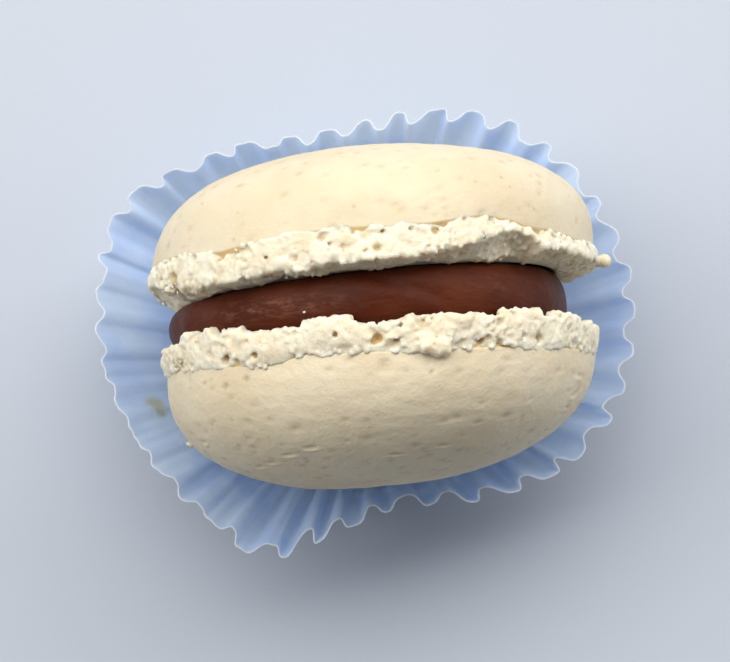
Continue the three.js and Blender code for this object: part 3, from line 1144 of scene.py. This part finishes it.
def make_floor():
    mesh = bpy.data.meshes.new("floor")
    reach = FLOOR_REACH
    corners = [(-reach, -reach, 0), (reach, -reach, 0), (reach, reach, 0), (-reach, reach, 0)]
    mesh.from_pydata(corners, [], [(0, 1, 2, 3)])
    mesh.materials.append(floor_material(bpy.context.scene.macaron_colours))
    floor = bpy.data.objects.new("floor", mesh)
    bpy.context.scene.collection.objects.link(floor)


def make_world():
    """A faint even light from all round."""
    world = bpy.data.worlds.new("soft_room")
    world.use_nodes = True
    background = world.node_tree.nodes["Background"]
    background.inputs["Color"].default_value = WORLD_TINT
    background.inputs["Strength"].default_value = WORLD_STRENGTH
    bpy.context.scene.world = world


def make_camera():
    data = bpy.data.cameras.new("camera")
    data.lens = VIEW_LENS
    data.sensor_width = 36.0
    data.clip_start = 0.01
    data.clip_end = 10.0
    camera = bpy.data.objects.new("camera", data)
    back = Vector((0, -math.sin(VIEW_TILT), math.cos(VIEW_TILT)))
    camera.location = (VIEW_TARGET + back * VIEW_DISTANCE) * MM
    camera.rotation_euler = (VIEW_TILT, 0, 0)
    bpy.context.scene.collection.objects.link(camera)
    bpy.context.scene.camera = camera


# ---- what a user can change ----


def length(name, description, default):
    return FloatProperty(
        name=name, description=description, default=default * MM, unit="LENGTH", precision=5
    )


def colour(name, description, red, green, blue):
    return FloatVectorProperty(
        name=name,
        description=description,
        default=linear(red, green, blue),
        subtype="COLOR",
        min=0.0,
        max=1.0,
    )


class MacaronUpperShell(PropertyGroup):
    """Sizes of the shell whose crown faces +Y."""

    foot_radius: length("Foot Radius", "Radius of the ruffled foot", 23.0)
    foot_height: length("Foot Height", "Height of the foot above the flat face", 3.6)
    crown_radius: length("Crown Radius", "Radius of the crown where it meets the foot", 22.5)
    crown_height: length("Crown Height", "Height of the crown above the foot", 10.4)
    crown_power: FloatProperty(
        name="Crown Squareness", description="Over 2, squarer than an ellipse", default=2.45
    )


class MacaronLowerShell(PropertyGroup):
    """Sizes of the shell whose crown faces -Y."""

    foot_radius: length("Foot Radius", "Radius of the ruffled foot", 22.4)
    foot_height: length("Foot Height", "Height of the foot above the flat face", 2.35)
    crown_radius: length("Crown Radius", "Radius of the crown where it meets the foot", 21.7)
    crown_height: length("Crown Height", "Height of the crown above the foot", 12.05)
    crown_power: FloatProperty(
        name="Crown Squareness", description="Over 2, squarer than an ellipse", default=2.25
    )


class MacaronFilling(PropertyGroup):
    """Sizes of the chocolate filling."""

    radius: length("Radius", "Radius of the filling", 20.2)
    thickness: length("Thickness", "Distance between the shells' flat faces", 4.9)
    drift: length("Drift", "How far the filling sits from the shells' axis", -1.0)


class MacaronCase(PropertyGroup):
    """Sizes of the paper case."""

    flutes: IntProperty(name="Flutes", description="Number of flutes", default=40, min=8)
    paper: length("Paper", "Thickness of the paper", 0.14)
    base_radius: length("Base Radius", "Radius of the flat base", 15.5)
    mouth_radius: length("Mouth Radius", "Radius of the mouth before it is pressed", 28.8)
    wall_length: length("Wall Length", "Length of the wall along the paper", 20.3)
    flute_depth: length("Flute Depth", "Depth of a flute at the mouth", 1.3)


class MacaronColours(PropertyGroup):
    """Colours of every surface."""

    crown: colour("Crown", "The crowns' own colour", 223, 211, 184)
    crown_warm: colour("Warm Crown", "Where a crown is more baked", 215, 199, 168)
    speck: colour("Speck", "Pits and specks", 176, 152, 112)
    foot: colour("Foot", "The feet's own colour", 234, 227, 206)
    # Painted shade: tan in the feet's cavities, under their edges and along the crowns' creases, and
    # brown deep in the cavities.
    recess_shade: colour("Hollow", "Inside the feet's cavities", 216, 186, 130)
    deep_recess_shade: colour("Deep Hollow", "At the bottom of deep cavities", 150, 106, 54)
    ganache: colour("Ganache", "The filling's own colour", 85, 38, 19)
    ganache_dark: colour("Dark Ganache", "Darker parts of the filling", 67, 28, 15)
    bloom: colour("Bloom", "Bloom on the filling", 122, 82, 66)
    # The paper is white; the blue in these two colours is painted blue light from around it.
    paper: colour("Paper", "The paper", 228, 240, 255)
    paper_bluer_cast: colour("Cool Paper", "Thinner parts of the paper", 214, 231, 255)
    # Fibres of the paper, and a painted highlight along its cut edge.
    paper_fibre_and_edge_highlight: colour("Paper Edge", "Cut edge and fibres of the paper", 246, 249, 253)
    smear: colour("Smear", "A greasy spot on the paper", 208, 209, 178)
    floor: colour("Floor", "The floor", 184, 191, 202)


# ---- operators ----


class MACARON_OT_crowns(Operator):
    """Make the smooth crowns of both shells"""

    bl_idname = "macaron.crowns"
    bl_label = "Make Crowns"

    def execute(self, context):
        scene = context.scene
        material = crown_material(scene.macaron_colours)
        for shell, sizes, name in (
            (UPPER, scene.macaron_upper, "upper_crown"),
            (LOWER, scene.macaron_lower, "lower_crown"),
        ):
            finish_piece(make_crown(shell, sizes, name), None, material)
        return {"FINISHED"}


class MACARON_OT_feet(Operator):
    """Make the crumbly feet of both shells"""

    bl_idname = "macaron.feet"
    bl_label = "Make Feet"

    def execute(self, context):
        scene = context.scene
        material = foot_material(scene.macaron_colours)
        for shell, sizes, name, node in (
            (UPPER, scene.macaron_upper, "upper_foot", "upper_shell"),
            (LOWER, scene.macaron_lower, "lower_foot", "lower_shell"),
        ):
            finish_piece(make_foot(shell, sizes, name), node, material)
        return {"FINISHED"}


class MACARON_OT_filling(Operator):
    """Make the chocolate filling"""

    bl_idname = "macaron.filling"
    bl_label = "Make Filling"

    def execute(self, context):
        scene = context.scene
        material = filling_material(scene.macaron_colours)
        piece = make_filling(scene.macaron_filling)
        finish_piece(piece, "chocolate_filling", material)
        return {"FINISHED"}


class MACARON_OT_case(Operator):
    """Make the fluted paper case"""

    bl_idname = "macaron.case"
    bl_label = "Make Case"

    def execute(self, context):
        scene = context.scene
        material = paper_material(scene.macaron_colours)
        finish_piece(make_case(scene.macaron_case), "paper_case", material)
        return {"FINISHED"}


class MACARON_OT_crumbs(Operator):
    """Make the loose crumbs"""

    bl_idname = "macaron.crumbs"
    bl_label = "Make Crumbs"

    def execute(self, context):
        material = foot_material(context.scene.macaron_colours)
        finish_piece(make_crumbs(), None, material)
        return {"FINISHED"}


class MACARON_OT_stage(Operator):
    """Make the floor, the lights and the camera"""

    bl_idname = "macaron.stage"
    bl_label = "Make Stage"

    def execute(self, context):
        make_floor()
        for light in LIGHTS:
            make_light(*light)
        make_world()
        make_camera()
        context.scene.view_settings.view_transform = "Standard"
        return {"FINISHED"}


OPERATORS = (
    MACARON_OT_stage,
    MACARON_OT_crowns,
    MACARON_OT_feet,
    MACARON_OT_filling,
    MACARON_OT_case,
    MACARON_OT_crumbs,
)

GROUPS = {
    "macaron_upper": MacaronUpperShell,
    "macaron_lower": MacaronLowerShell,
    "macaron_filling": MacaronFilling,
    "macaron_case": MacaronCase,
    "macaron_colours": MacaronColours,
}


class MACARON_PT_panel(Panel):
    """Lists the macaron's pieces and what can be changed on them"""

    bl_idname = "MACARON_PT_panel"
    bl_label = "Macaron"
    bl_space_type = "VIEW_3D"
    bl_region_type = "UI"
    bl_category = "Macaron"

    def draw(self, context):
        for operator in OPERATORS:
            self.layout.operator(operator.bl_idname)
        for name, group in GROUPS.items():
            box = self.layout.box()
            box.label(text=group.__doc__.rstrip("."))
            for prop in group.__annotations__:
                box.prop(getattr(context.scene, name), prop)


CLASSES = (*GROUPS.values(), *OPERATORS, MACARON_PT_panel)


def register():
    for cls in CLASSES:
        bpy.utils.register_class(cls)
    for name, group in GROUPS.items():
        setattr(bpy.types.Scene, name, PointerProperty(type=group))


def unregister():
    for name in GROUPS:
        delattr(bpy.types.Scene, name)
    for cls in reversed(CLASSES):
        bpy.utils.unregister_class(cls)


def main():
    register()
    for operator in OPERATORS:
        group, name = operator.bl_idname.split(".")
        getattr(getattr(bpy.ops, group), name)()


if __name__ == "__main__":
    main()
